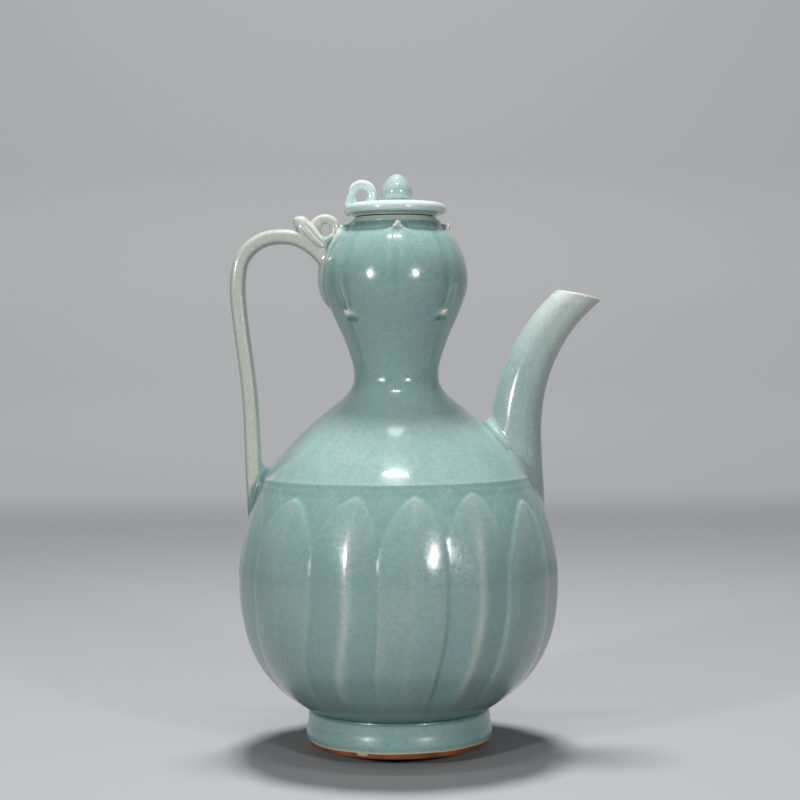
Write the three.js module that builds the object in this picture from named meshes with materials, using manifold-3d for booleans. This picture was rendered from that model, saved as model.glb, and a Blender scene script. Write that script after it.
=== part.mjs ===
// A gourd-shaped pouring ewer in glazed stoneware, with a lift-off lid.
// Millimetres, +Z up. The vessel is round about a vertical axis, the spout points along +X and the
// handle along -X. Azimuth is measured from the front, -Y, towards the spout.
import * as THREE from "three";
import { LoftGeometry } from "three/addons/geometries/LoftGeometry.js";
import { mergeVertices } from "three/addons/utils/BufferGeometryUtils.js";
import Module from "manifold-3d";

const wasm = await Module();
wasm.setup();

// Walls and the gap between pieces
const luting = 0.3; // left between pieces that are stuck together with slip
const bellyWall = 5.2;
const shoulderWall = 4.8;
const upperWall = 4.2;

// Foot
const footRadius = 46;
const footTopRadius = 44.8;
const footHeight = 17.5;
const footRingWidth = 7.5;
const footRimRound = 1.2;
const floorRecess = 9; // from the standing surface up to the floor's underside
const floorThickness = 9;

// Lower bulb
const bellyRadius = 79.2;
const bellyRise = 66; // from the foot to the widest circle
const ridgeRise = 47.7; // from the widest circle to the ridge
const ridgeRadius = 65.9;
const bellyLowerFullness = 2.6;
const bellyUpperFullness = 1.6;

// Petals carved round the lower bulb
const petalCount = 14;
const petalTurn = 7.1; // azimuth of the petal nearest the front, in degrees
const petalDepth = 1.9;
const petalRootRise = 5; // above the foot
const petalRootFade = 18;
const petalTipDrop = 10; // below the ridge
const petalTipFade = 14;

// Shoulder, from the ridge up to the waist. Its two pulls shape the curve, as shares of its run.
const waistRadius = 20.9;
const shoulderRise = 49.3;
const ridgePullIn = 0.56;
const ridgePullUp = 0.71;
const waistPullDown = 0.27;

// Upper bulb
const upperRadius = 35.9;
const upperRise = 46.5; // from the waist to the widest circle
const waistPullUp = 0.32;
const upperPullDown = 0.26;
const crownInset = 9.1; // from the widest circle in to the crown's edge
const crownRise = 24.8; // from the widest circle to the crown's edge
const crownFullness = 2;
const lobeCount = 4;
const lobeDepth = 0.7;
const lobeFade = 18;

// Mouth
const mouthRadius = 19.9;
const mouthRise = 6.8; // from the crown's edge to the rim
const mouthBore = 15.4;
const mouthRimHeight = 2.6;
const mouthRimRound = 0.8;
const throatDrop = 4; // from the rim's seat down to where the bore opens into the bulb

// Spout: each row is sideways and up from its root on the shoulder, then the tube's radius
const spoutRootAlong = 11; // from the ridge up the shoulder's slope
const spoutPath = [
  [-0.4, -25, 13.2],
  [-0.4, -8, 13.1],
  [-0.1, 8, 12.9],
  [1.5, 25, 12.4],
  [5.5, 41, 11.6],
  [11.5, 54.5, 10.8],
  [19.1, 66.5, 10.1],
  [27.2, 75.2, 9.5],
  [35.1, 82.3, 9],
  [42, 88, 8.6],
];
const spoutWallAtRoot = 4.2;
const spoutWallAtLip = 2.2;
const spoutBoreStart = -9; // below the root
const spoutMouth = [33.2, 80.3]; // sideways and up from the root, on the tube's centre line
const spoutMouthTilt = 12.2; // degrees below the horizontal, away from the vessel
const pourHoleRadius = 6.5;

// Handle: each row is out and up from an anchor, then half the strap's width and thickness.
// The first anchor is the widest point of the upper bulb, the second is the ridge.
const handleTop = [
  [-2.6, -12, 2.6, 1.2],
  [-0.3, -6, 4.2, 1.6],
  [0.4, 2, 5.4, 2.3],
  [1.4, 7.6, 5.8, 3.1],
  [4, 14.2, 6, 3.8],
  [10.6, 20.2, 6, 3.8],
  [20.6, 22.6, 6, 3.8],
  [30.7, 20.3, 6, 3.85],
  [37.3, 14.5, 6, 3.85],
  [41.5, 5, 6, 3.85],
  [42, -6, 6, 3.85],
];
const handleFoot = [
  [10, 70, 6, 3.85],
  [6.7, 43.6, 6, 3.8],
  [5.6, 24, 6.2, 3.9],
  [5.2, 10, 6.5, 4.1],
  [4.9, -3.2, 6.6, 4.1],
  [4.5, -14.8, 5.4, 3.6],
];

// Twig and ring laid on the handle beside the upper bulb, out and up from the first anchor
const twigPath = [
  [13.2, 31.9, 1.4],
  [12.5, 31.2, 2.6],
  [11, 29.6, 3.3],
  [8, 26.4, 2.8],
  [5, 23.3, 2.7],
  [1.8, 19.9, 2.6],
  [-0.9, 16.8, 2.2],
];
const handleRingCentre = [-2, 26];
const handleRingRadius = 5;
const handleRingCoil = 2.3;

// Pinched tips of the petals on the upper bulb
const tipBaseRadius = 2.2;
const tipNoseRadius = 1.3;
const tipLength = 3;
const tipSunk = 1.2;
const tipCount = 4;
const lowerTipDrop = 15.5; // below the bulb's widest circle
const crownTipInset = 1.6; // inside the crown's edge
const crownTipRise = 1.2; // above the crown's edge
const crownTipLean = 40; // degrees above the horizontal

// Lid
const lidRadius = 24.9;
const lidThickness = 6.6;
const lidTopRound = 3.6;
const lidUnderRound = 1.7;
const lidUnderRise = 1.2; // of the rim's lower edge above the part that rests on the mouth
const lidDome = 0.4;
const flangePlay = 0.5;
const flangeWall = 3;
const flangeDepth = 9;
const knobRadius = 7.4;
const knobBaseRadius = 5.9;
const knobHeight = 13.8;
const knobWidestHeight = 5.2;
const knobOffCentre = 1.1; // towards the spout
const lidRingOut = 15.9; // from the lid's centre, towards the handle
const lidRingAbove = 4.1; // of the ring's centre above the lid's top
const lidRingRadius = 5.1;
const lidRingCoil = 2.25;

// Fineness of the meshes
const around = petalCount * 4;
const plainAround = 40;
const small = 20;
const tiny = 10;

// Sizes and heights that follow from those above
const degrees = Math.PI / 180;
const halfGap = luting / 2;
const firstRidge = petalTurn * degrees;
const crownRadius = upperRadius - crownInset;
const bellyHeight = footHeight + bellyRise;
const ridgeHeight = bellyHeight + ridgeRise;
const waistHeight = ridgeHeight + shoulderRise;
const upperHeight = waistHeight + upperRise;
const crownHeight = upperHeight + crownRise;
const mouthHeight = crownHeight + mouthRise;
const rimSeat = mouthHeight - mouthRimHeight;
const rimSeatRadius = mouthRadius + mouthRimHeight - mouthRimRound;
const petalRootHeight = footHeight + petalRootRise;
const petalTipHeight = ridgeHeight - petalTipDrop;
const lowerTipHeight = upperHeight - lowerTipDrop;
const knobSeat = lidThickness + lidDome + luting;

const glaze = new THREE.MeshStandardMaterial({ color: 0x93bcb8, roughness: 0.12, metalness: 0 });
const thinGlaze = new THREE.MeshStandardMaterial({ color: 0xdcdfd0, roughness: 0.2, metalness: 0 });
const clay = new THREE.MeshStandardMaterial({ color: 0xa8683f, roughness: 0.85, metalness: 0 });

// Solids and meshes

function solid(geometry) {
  const plain = geometry.index ? geometry.toNonIndexed() : geometry.clone();
  plain.deleteAttribute("normal");
  plain.deleteAttribute("uv");
  const merged = mergeVertices(plain, 1e-3);
  return new wasm.Manifold(
    new wasm.Mesh({
      numProp: 3,
      vertProperties: merged.attributes.position.array,
      triVerts: new Uint32Array(merged.index.array),
    }),
  );
}

function geometryOf(manifold) {
  const mesh = manifold.getMesh();
  const geometry = new THREE.BufferGeometry();
  geometry.setAttribute("position", new THREE.BufferAttribute(mesh.vertProperties, 3));
  geometry.setIndex(new THREE.BufferAttribute(mesh.triVerts, 1));
  geometry.computeVertexNormals();
  return geometry;
}

function carve(body, ...neighbours) {
  return neighbours.reduce((left, neighbour) => left.subtract(neighbour), body);
}

function addPiece(group, name, shape, material) {
  const geometry = shape.isBufferGeometry ? shape : geometryOf(shape);
  const mesh = new THREE.Mesh(geometry, material);
  mesh.name = name;
  group.add(mesh);
  return mesh;
}

// Profiles of the turned pieces: x is the radius, y the height

const at = (radius, height) => new THREE.Vector2(radius, height);
const everyOther = (points) => points.filter((_, i) => i % 2 === 0);
const between = (points, low, high) => points.filter(({ y }) => y > low && y < high);

// A bulging side that leaves the widest circle straight up or down and reaches an edge circle.
function bulge(widest, widestHeight, edge, edgeHeight, fullness, steps) {
  const points = [];
  for (let i = 0; i <= steps; i++) {
    const t = Math.sin((i / steps) * (Math.PI / 2));
    const squared = widest ** 2 - (widest ** 2 - edge ** 2) * t ** fullness;
    points.push(at(Math.sqrt(squared), widestHeight + (edgeHeight - widestHeight) * t));
  }
  return points;
}

function round(centreRadius, centreHeight, radius, from, to, steps) {
  const points = [];
  for (let i = 0; i <= steps; i++) {
    const angle = (from + ((to - from) * i) / steps) * degrees;
    const side = radius * Math.cos(angle);
    points.push(at(centreRadius + side, centreHeight + radius * Math.sin(angle)));
  }
  return points;
}

// Moves a profile along its normals: a profile that climbs moves away from the axis.
function offset(points, distance) {
  return points.map((point, i) => {
    const before = points[Math.max(i - 1, 0)];
    const after = points[Math.min(i + 1, points.length - 1)];
    const along = after.clone().sub(before).normalize();
    return at(point.x + along.y * distance, point.y - along.x * distance);
  });
}

// How deep the carved petals and the lobes pull the skin in, at an azimuth and a height.
function dent(azimuth, height) {
  const { smoothstep } = THREE.MathUtils;
  const petalsIn =
    smoothstep(height, petalRootHeight - petalRootFade / 2, petalRootHeight + petalRootFade) *
    (1 - smoothstep(height, petalTipHeight - petalTipFade, petalTipHeight));
  const betweenPetals = Math.sin((azimuth - firstRidge) * (petalCount / 2)) ** 2;
  const lobesIn =
    smoothstep(height, lowerTipHeight - lobeFade / 2, lowerTipHeight + lobeFade) *
    (1 - smoothstep(height, crownHeight - lobeFade, crownHeight));
  const betweenLobes = Math.sin(azimuth * (lobeCount / 2)) ** 2;
  return petalDepth * petalsIn * betweenPetals + lobeDepth * lobesIn * betweenLobes;
}

// Turns a closed profile about the vertical axis. The skin comes first in it, and may be dented.
function turn(skin, rest, dented = true) {
  const fineness = dented ? around : plainAround;
  const profile = [...skin, ...rest];
  const startsOnAxis = profile[0].x === 0;
  if (!startsOnAxis) profile.push(profile[0]);
  const geometry = new THREE.LatheGeometry(profile, fineness, firstRidge);
  const position = geometry.attributes.position;
  for (let i = 0; dented && i < position.count; i++) {
    const j = i % profile.length;
    const isSkin = j < skin.length || (!startsOnAxis && j === profile.length - 1);
    const azimuth = firstRidge + (Math.floor(i / profile.length) * 2 * Math.PI) / fineness;
    const { x: radius, y: height } = profile[j];
    if (!isSkin || radius === 0) continue;
    const pulled = radius - dent(azimuth, height);
    position.setXYZ(i, pulled * Math.sin(azimuth), height, pulled * Math.cos(azimuth));
  }
  return geometry.rotateX(Math.PI / 2);
}

// A rod that bends in the plane of the handle and the spout, larger all round by extra.
// Each row is [x, z, half width, half thickness].
function rod(rows, sides, steps, extra = 0) {
  const path = new THREE.CatmullRomCurve3(rows.map(([x, z]) => new THREE.Vector3(x, 0, z)));
  const across = new THREE.Vector3(0, 1, 0);
  const sections = [];
  for (let i = 0; i <= steps; i++) {
    const t = i / steps;
    const centre = path.getPoint(t);
    const out = path.getTangent(t).cross(across);
    const row = Math.min(Math.floor(t * (rows.length - 1)), rows.length - 2);
    const share = t * (rows.length - 1) - row;
    const [width, thickness] = [2, 3].map(
      (k) => THREE.MathUtils.lerp(rows[row][k], rows[row + 1][k], share) + extra,
    );
    const section = [];
    for (let j = 0; j < sides; j++) {
      const angle = (j / sides) * 2 * Math.PI;
      const point = centre.clone().addScaledVector(across, width * Math.cos(angle));
      section.push(point.addScaledVector(out, thickness * Math.sin(angle)));
    }
    sections.push(section);
  }
  return solid(new LoftGeometry(sections, { capStart: true, capEnd: true }));
}

function ringCoil(radius, coil, x, z, extra = 0) {
  const ring = new THREE.TorusGeometry(radius, coil + extra, tiny, small);
  return solid(ring.rotateX(Math.PI / 2).translate(x, 0, z));
}

// Outlines of the vessel's skin, from the foot to the mouth

const bellyLower = bulge(
  bellyRadius,
  bellyHeight,
  footTopRadius,
  footHeight,
  bellyLowerFullness,
  9,
);
const bellyUpper = bulge(
  bellyRadius,
  bellyHeight,
  ridgeRadius,
  ridgeHeight,
  bellyUpperFullness,
  6,
);
const bellySkin = [...bellyLower.reverse(), ...bellyUpper.slice(1)];
const shoulderCurve = new THREE.CubicBezierCurve(
  at(ridgeRadius, ridgeHeight),
  at(
    ridgeRadius - ridgePullIn * (ridgeRadius - waistRadius),
    ridgeHeight + ridgePullUp * shoulderRise,
  ),
  at(waistRadius, waistHeight - waistPullDown * shoulderRise),
  at(waistRadius, waistHeight),
);
const shoulderSkin = shoulderCurve.getPoints(9);
const upperCurve = new THREE.CubicBezierCurve(
  at(waistRadius, waistHeight),
  at(waistRadius, waistHeight + waistPullUp * upperRise),
  at(upperRadius, upperHeight - upperPullDown * upperRise),
  at(upperRadius, upperHeight),
);
const crownSide = bulge(upperRadius, upperHeight, crownRadius, crownHeight, crownFullness, 5);
const upperSkin = [...upperCurve.getPoints(8), ...crownSide.slice(1)];
const wholeSkin = [
  at(footRadius, 0),
  ...bellySkin,
  ...shoulderSkin.slice(1),
  ...upperSkin.slice(1),
  at(rimSeatRadius, rimSeat),
  at(mouthRadius, mouthHeight),
];
// The vessel as one filled solid, a little larger than its skin, that carves what is stuck to it.
const vessel = solid(
  turn(
    [at(0, -luting), at(footRadius + luting, -luting), ...offset(wholeSkin, luting).slice(1)],
    [at(0, mouthHeight + luting)],
  ),
);

// Foot ring, turned separately and stuck under the lower bulb
function footRing() {
  const inner = footRadius - footRingWidth;
  const top = footHeight - halfGap;
  return turn(
    [
      ...round(footRadius - footRimRound, footRimRound, footRimRound, -90, 0, 3),
      at(footTopRadius, top),
    ],
    [
      at(inner, top),
      ...round(inner + footRimRound, footRimRound, footRimRound, 180, 270, 3),
    ],
    false,
  );
}

// Lower bulb with its floor, which drops a little way into the foot ring
function lowerBulb() {
  const spigot = footRadius - footRingWidth - luting;
  const seat = footHeight + halfGap;
  const top = ridgeHeight - halfGap;
  const floorTop = floorRecess + floorThickness;
  const inner = everyOther(between(offset(bellySkin, -bellyWall), floorTop + 1, top - 1));
  return turn(
    [
      at(0, floorRecess),
      at(spigot, floorRecess),
      at(spigot, seat),
      at(footTopRadius, seat),
      ...between(bellySkin, seat, top),
      at(ridgeRadius, top),
    ],
    [
      at(ridgeRadius - bellyWall, top),
      ...inner.reverse(),
      at(footTopRadius - 2 * bellyWall, floorTop),
      at(0, floorTop),
    ],
  );
}

// Shoulder between the ridge and the waist, pierced where the spout stands
function shoulder() {
  const bottom = ridgeHeight + halfGap;
  const top = waistHeight - halfGap;
  const inner = everyOther(between(offset(shoulderSkin, -shoulderWall), bottom + 1, top - 1));
  const shell = turn(
    [
      at(ridgeRadius, bottom),
      ...between(shoulderSkin, bottom, top),
      at(waistRadius, top),
    ],
    [
      at(waistRadius - shoulderWall, top),
      ...inner.reverse(),
      at(ridgeRadius - bellyWall, bottom),
    ],
  );
  return carve(solid(shell), pourHole());
}

const spoutAlong = spoutRootAlong / shoulderCurve.getLength();
const spoutRoot = shoulderCurve.getPointAt(spoutAlong);

function pourHole() {
  const slope = shoulderCurve.getTangentAt(spoutAlong);
  const lean = Math.atan2(-slope.x, slope.y);
  const drill = new THREE.CylinderGeometry(
    pourHoleRadius,
    pourHoleRadius,
    6 * shoulderWall,
    small,
  );
  drill.rotateZ(-Math.PI / 2).rotateY(-lean).translate(spoutRoot.x, 0, spoutRoot.y);
  return solid(drill);
}

// Upper bulb, from the waist to the seat of the mouth rim
function upperBulb() {
  const bottom = waistHeight + halfGap;
  const top = rimSeat - halfGap;
  const throat = rimSeat - throatDrop;
  const inner = everyOther(between(offset(upperSkin, -upperWall), bottom + 1, throat - 1));
  return turn(
    [
      at(waistRadius, bottom),
      ...between(upperSkin, bottom, top),
      at(rimSeatRadius + luting, top),
    ],
    [
      at(mouthBore, top),
      at(mouthBore, throat),
      ...inner.reverse(),
      at(waistRadius - upperWall, bottom),
    ],
  );
}

// Rim coil that the lid rests on
function mouthRim() {
  const bottom = rimSeat + halfGap;
  const roundHeight = mouthHeight - mouthRimRound;
  return turn(
    [
      at(rimSeatRadius, bottom),
      ...round(mouthRadius - mouthRimRound, roundHeight, mouthRimRound, 0, 90, 2),
    ],
    [
      ...round(mouthBore + mouthRimRound, roundHeight, mouthRimRound, 90, 180, 2),
      at(mouthBore, bottom),
    ],
    false,
  );
}

// Hollow spout, pressed on the shoulder over the pouring hole and cut slantwise at its mouth
function spout() {
  const rows = spoutPath.map(([side, up, radius]) => [
    spoutRoot.x + side,
    spoutRoot.y + up,
    radius,
    radius,
  ]);
  const start = spoutPath.findIndex(([, up]) => up > spoutBoreStart);
  const last = rows.length - 1;
  const bore = rows.slice(start).map(([x, z, radius], i) => {
    const share = i / (last - start);
    const inside = radius - THREE.MathUtils.lerp(spoutWallAtRoot, spoutWallAtLip, share);
    return [x, z, inside, inside];
  });
  const size = 6 * spoutPath[0][2];
  const aboveMouth = new THREE.BoxGeometry(size, size, size)
    .translate(0, 0, size / 2)
    .rotateY(spoutMouthTilt * degrees)
    .translate(spoutRoot.x + spoutMouth[0], 0, spoutRoot.y + spoutMouth[1]);
  return carve(rod(rows, small, 18), rod(bore, small, 14), vessel, solid(aboveMouth));
}

// Handle strap, its upper end drawn down the upper bulb and its foot pressed on the lower one
const anchorTop = at(-upperRadius, upperHeight);
const anchorFoot = at(-ridgeRadius, ridgeHeight);
const fromAnchor = (anchor, out, up) => [anchor.x - out, anchor.y + up];
const handleRows = [
  ...handleTop.map(([out, up, ...half]) => [...fromAnchor(anchorTop, out, up), ...half]),
  ...handleFoot.map(([out, up, ...half]) => [...fromAnchor(anchorFoot, out, up), ...half]),
];
const strap = (extra) => rod(handleRows, tiny, 40, extra);

// Twig lying on the handle, and the ring that stands on the twig
const twigRows = twigPath.map(([out, up, half]) => [...fromAnchor(anchorTop, out, up), half, half]);
const twig = (extra) => rod(twigRows, tiny, 14, extra);
const ringPlace = fromAnchor(anchorTop, ...handleRingCentre);
const handleRing = (extra) => ringCoil(handleRingRadius, handleRingCoil, ...ringPlace, extra);

// One pinched tip, pointing along +Z with its base sunk below the origin
function tip() {
  const nose = tipLength - tipNoseRadius;
  const profile = [
    at(0, -tipSunk),
    at(tipBaseRadius, -tipSunk),
    at(tipBaseRadius, 0),
    ...round(0, nose, tipNoseRadius, 15, 90, 3).slice(0, -1),
    at(0, tipLength),
  ];
  return new THREE.LatheGeometry(profile, tiny).rotateX(Math.PI / 2);
}

function placedTip(azimuth, radius, height, lean) {
  const placed = tip()
    .rotateY(Math.PI / 2 - lean)
    .translate(radius, 0, height)
    .rotateZ(azimuth - Math.PI / 2);
  return solid(placed);
}

// Four tips on the crown's edge, and four between them where the lower petals end
function tips(group) {
  const next = upperSkin.findIndex((point) => point.y > lowerTipHeight);
  const side = upperSkin[next].clone().sub(upperSkin[next - 1]);
  const share = (lowerTipHeight - upperSkin[next - 1].y) / side.y;
  const lowerRadius = upperSkin[next - 1].x + share * side.x;
  const neighbours = [vessel, handleRing(luting), twig(luting), strap(luting)];
  for (let i = 0; i < tipCount; i++) {
    const azimuth = (i * 2 * Math.PI) / tipCount;
    const crown = placedTip(
      azimuth,
      crownRadius - crownTipInset,
      crownHeight + crownTipRise,
      crownTipLean * degrees,
    );
    const lower = placedTip(
      azimuth + Math.PI / tipCount,
      lowerRadius,
      lowerTipHeight,
      -Math.atan2(side.x, side.y),
    );
    addPiece(group, `crown_tip_${i + 1}`, carve(crown, ...neighbours), thinGlaze);
    addPiece(group, `petal_tip_${i + 1}`, carve(lower, ...neighbours), thinGlaze);
  }
}

// Lid plate, its underside at the origin of the lid's group
function lidPlate(extra = 0) {
  const radius = lidRadius + extra;
  const top = lidThickness + extra;
  const edge = lidUnderRise - extra;
  const profile = [
    at(0, -extra),
    at(mouthRadius, -extra),
    ...round(radius - lidUnderRound, edge + lidUnderRound, lidUnderRound, -90, 0, 3),
    ...round(radius - lidTopRound, top - lidTopRound, lidTopRound, 0, 90, 4),
    at(radius / 2, top + lidDome / 2),
    at(0, top + lidDome),
  ];
  return turn(profile, [], false);
}

// Flange under the plate, that keeps the lid in the mouth
function lidFlange() {
  const outer = mouthBore - flangePlay;
  const chamfer = flangeWall / 4;
  return turn(
    [
      at(outer - chamfer, -flangeDepth),
      at(outer, chamfer - flangeDepth),
      at(outer, -luting),
    ],
    [
      at(outer - flangeWall, -luting),
      at(outer - flangeWall, -flangeDepth),
    ],
    false,
  );
}

// A closed bud: round below, drawn up to a point
function lidKnob(scale = 1) {
  const drawnUp = new THREE.CubicBezierCurve(
    at(knobRadius, knobWidestHeight),
    at(knobRadius, knobWidestHeight + knobHeight / 4),
    at(knobRadius / 3.4, knobHeight - knobHeight / 14),
    at(0, knobHeight),
  );
  const lower = bulge(knobRadius, knobWidestHeight, knobBaseRadius, 0, 2, 4).reverse();
  const profile = [at(0, 0), ...lower, ...drawnUp.getPoints(7).slice(1)];
  const bud = new THREE.LatheGeometry(profile, small).rotateX(Math.PI / 2);
  return bud.scale(scale, scale, scale);
}

// Coil standing on the plate, beside the knob
function lidRing() {
  const coil = ringCoil(
    lidRingRadius,
    lidRingCoil,
    -lidRingOut,
    lidThickness + lidRingAbove,
  );
  const knob = lidKnob(1 + luting / knobRadius).translate(knobOffCentre, 0, knobSeat - luting);
  return carve(coil, solid(lidPlate(luting)), solid(knob));
}

// The ewer, standing on its foot with the middle of its outline over the origin

const ewer = new THREE.Group();
const vesselGroup = new THREE.Group();
const lidGroup = new THREE.Group();
ewer.add(vesselGroup);
vesselGroup.add(lidGroup);
lidGroup.position.z = mouthHeight + luting;

addPiece(vesselGroup, "foot_ring", footRing(), glaze);
addPiece(vesselGroup, "lower_bulb", lowerBulb(), glaze);
addPiece(vesselGroup, "shoulder", shoulder(), glaze);
addPiece(vesselGroup, "upper_bulb", upperBulb(), glaze);
addPiece(vesselGroup, "mouth_rim", mouthRim(), thinGlaze);
addPiece(vesselGroup, "spout", spout(), glaze);
addPiece(vesselGroup, "handle", carve(strap(0), vessel), glaze);
addPiece(vesselGroup, "handle_twig", carve(twig(0), strap(luting), vessel), glaze);
addPiece(
  vesselGroup,
  "handle_ring",
  carve(handleRing(0), twig(luting), strap(luting), vessel),
  glaze,
);
tips(vesselGroup);

addPiece(lidGroup, "lid_plate", lidPlate(), glaze);
addPiece(lidGroup, "lid_flange", lidFlange(), clay);
addPiece(lidGroup, "lid_knob", lidKnob(), glaze).position.set(knobOffCentre, 0, knobSeat);
addPiece(lidGroup, "lid_ring", lidRing(), glaze);

const outline = new THREE.Box3().setFromObject(ewer);
vesselGroup.position.x = -outline.getCenter(new THREE.Vector3()).x;

export default ewer;
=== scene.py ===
import math

import bmesh
import bpy
import numpy as np
from mathutils import Matrix, Vector


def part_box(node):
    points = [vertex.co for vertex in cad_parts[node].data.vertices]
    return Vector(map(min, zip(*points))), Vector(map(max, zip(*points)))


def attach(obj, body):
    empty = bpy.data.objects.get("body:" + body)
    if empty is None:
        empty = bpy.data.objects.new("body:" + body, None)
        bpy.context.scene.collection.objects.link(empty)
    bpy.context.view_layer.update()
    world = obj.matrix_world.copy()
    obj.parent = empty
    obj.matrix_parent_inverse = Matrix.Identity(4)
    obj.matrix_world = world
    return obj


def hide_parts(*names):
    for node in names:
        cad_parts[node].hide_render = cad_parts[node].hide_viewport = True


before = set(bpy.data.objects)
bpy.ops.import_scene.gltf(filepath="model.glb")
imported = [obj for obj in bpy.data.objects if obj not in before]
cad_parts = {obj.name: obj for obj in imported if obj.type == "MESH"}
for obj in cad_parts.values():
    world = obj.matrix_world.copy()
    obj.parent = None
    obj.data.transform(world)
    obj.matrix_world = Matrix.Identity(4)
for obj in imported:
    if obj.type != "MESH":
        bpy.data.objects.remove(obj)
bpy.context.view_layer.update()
scene = bpy.context.scene

# The view
# The photograph looks a little down on the ewer from the height of its waist, through a long lens.
# Lengths below are in millimetres from the vessel's axis, a little left of the frame's origin.
mm = 0.001
foot_low, foot_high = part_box("foot_ring")
axis_x = (foot_low.x + foot_high.x) / 2
view_distance, view_height = 880 * mm, 192.25 * mm

camera = bpy.data.objects.new("camera", bpy.data.cameras.new("camera"))
scene.collection.objects.link(camera)
scene.camera = camera
camera.data.sensor_width = 36
camera.data.lens = 80.2
camera.matrix_world = (
    Matrix.Translation((axis_x + 1.7 * mm, -view_distance, view_height))
    @ Matrix.Rotation(math.radians(90 - 1.535), 4, "X")
    @ Matrix.Rotation(math.radians(-0.544), 4, "Z")
)

# Foot ring
# A thick ring of stoneware, turned on the wheel and stuck under the body. Its side is glazed, and
# the standing edge was wiped bare before firing, so the clay there has burnt orange-brown.
half_gap = 0.15  # half of what the CAD pieces keep between them
foot_height = foot_high.z / mm + half_gap


def turned(radius, height, azimuth):
    """Points at these radii and heights, at azimuths from the front towards the spout."""
    height = np.broadcast_to(height, np.broadcast(radius, azimuth).shape)
    return np.stack([radius * np.sin(azimuth), -radius * np.cos(azimuth), height], axis=-1)


def ease(value, start, end):
    """Rises smoothly from 0 at start to 1 at end."""
    share = np.clip((value - start) / (end - start), 0, 1)
    return share * share * (3 - 2 * share)


def hump(off, width):
    """1 where off is 0, and falling smoothly to either side."""
    return np.exp(-((off / width) ** 2))


def shares_of(count):
    return np.linspace(0, 1, count)


def all_round(count):
    """Angles in even steps, once round."""
    return np.linspace(0, 2 * np.pi, count, endpoint=False)


def curve_through(points, count):
    """A smooth curve through a few points, as count points a like distance apart."""
    points = np.array(points, float)
    before = 2 * points[:1] - points[1:2]
    after = 2 * points[-1:] - points[-2:-1]
    knots = np.vstack([before, points, after])
    fine = []
    for a, b, c, d in zip(knots, knots[1:], knots[2:], knots[3:]):
        t = np.linspace(0, 1, 40, endpoint=False)[:, None]
        bend = (2 * a - 5 * b + 4 * c - d) * t**2 + (3 * b - a - 3 * c + d) * t**3
        fine.append(b + 0.5 * ((c - a) * t + bend))
    fine = np.vstack(fine + [points[-1:]])
    steps = np.linalg.norm(np.diff(fine, axis=0), axis=1)
    along = np.concatenate([[0], np.cumsum(steps)])
    even = np.linspace(0, along[-1], count)
    return np.stack([np.interp(even, along, column) for column in fine.T], axis=-1)


def clay_mesh(name, rings, ends, **layers):
    """A piece of pottery from rows of points in rings. Its last ring is joined to the first, or
    both end rings are closed with a point. Each layer is a value for each point."""
    rows, columns = rings.shape[:2]
    points = rings.reshape(-1, 3)
    values = {key: np.broadcast_to(value, (rows, columns)).ravel() for key, value in layers.items()}
    index = np.arange(rows * columns).reshape(rows, columns)
    this = index if ends == "joined" else index[:-1]
    following = np.roll(index, -1, axis=0) if ends == "joined" else index[1:]
    corners = [this, np.roll(this, -1, axis=1), np.roll(following, -1, axis=1), following]
    faces = np.stack(corners, axis=-1).reshape(-1, 4).tolist()
    if ends == "closed":
        for ring in (index[0], index[-1][::-1]):
            faces += [[len(points), b, a] for a, b in zip(ring, np.roll(ring, -1))]
            points = np.vstack([points, points[ring].mean(axis=0)])
            values = {key: np.append(value, value[ring].mean()) for key, value in values.items()}
    mesh = bpy.data.meshes.new(name)
    mesh.from_pydata((points * mm + (axis_x, 0, 0)).tolist(), [], faces)
    for key, value in values.items():
        mesh.attributes.new(key, "FLOAT", "POINT").data.foreach_set("value", value)
    outward = bmesh.new()
    outward.from_mesh(mesh)
    bmesh.ops.recalc_face_normals(outward, faces=outward.faces)
    outward.to_mesh(mesh)
    outward.free()
    mesh.shade_smooth()
    mesh.set_sharp_from_angle(angle=math.radians(50))
    piece = bpy.data.objects.new(name, mesh)
    scene.collection.objects.link(piece)
    return piece


def stand_for(piece, material, slot, body, *nodes):
    piece.data.materials.append(material)
    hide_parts(*nodes)
    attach(piece, body)


def add_node(tree, kind, values=None, **settings):
    node = tree.nodes.new("ShaderNode" + kind)
    for key, value in settings.items():
        setattr(node, key, value)
    for key, value in (values or {}).items():
        socket = node.inputs[key]
        if isinstance(value, bpy.types.NodeSocket):
            tree.links.new(value, socket)
        else:
            socket.default_value = value
    return node


def new_group(name, inputs):
    """An empty node group that makes a colour, a roughness and a height from what it is given."""
    tree = bpy.data.node_groups.new(name, "ShaderNodeTree")
    outputs = {"Colour": "Color", "Roughness": "Float", "Height": "Float"}
    for direction, sockets in (("INPUT", inputs), ("OUTPUT", outputs)):
        for label, kind in sockets.items():
            tree.interface.new_socket(label, in_out=direction, socket_type="NodeSocket" + kind)
    given = tree.nodes.new("NodeGroupInput").outputs
    made = tree.nodes.new("NodeGroupOutput").inputs
    return tree, given, made


def noise(tree, place, scale, detail=2.0, roughness=0.5):
    values = {"Vector": place, "Scale": scale, "Detail": detail, "Roughness": roughness}
    return add_node(tree, "TexNoise", values).outputs["Fac"]


def sum_of(tree, first, second, factor=1.0):
    """First plus second times factor."""
    values = {0: second, 1: factor, 2: first}
    return add_node(tree, "Math", values, operation="MULTIPLY_ADD").outputs[0]


def stretch(tree, value, low, high, to_low=0.0, to_high=1.0):
    values = {"Value": value, "From Min": low, "From Max": high, "To Min": to_low, "To Max": to_high}
    return add_node(tree, "MapRange", values, interpolation_type="SMOOTHSTEP").outputs["Result"]


def blend_colours(tree, factor, first, second, how="MIX"):
    values = {0: factor, 6: first, 7: second}
    return add_node(tree, "Mix", values, data_type="RGBA", blend_type=how).outputs[2]


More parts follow.
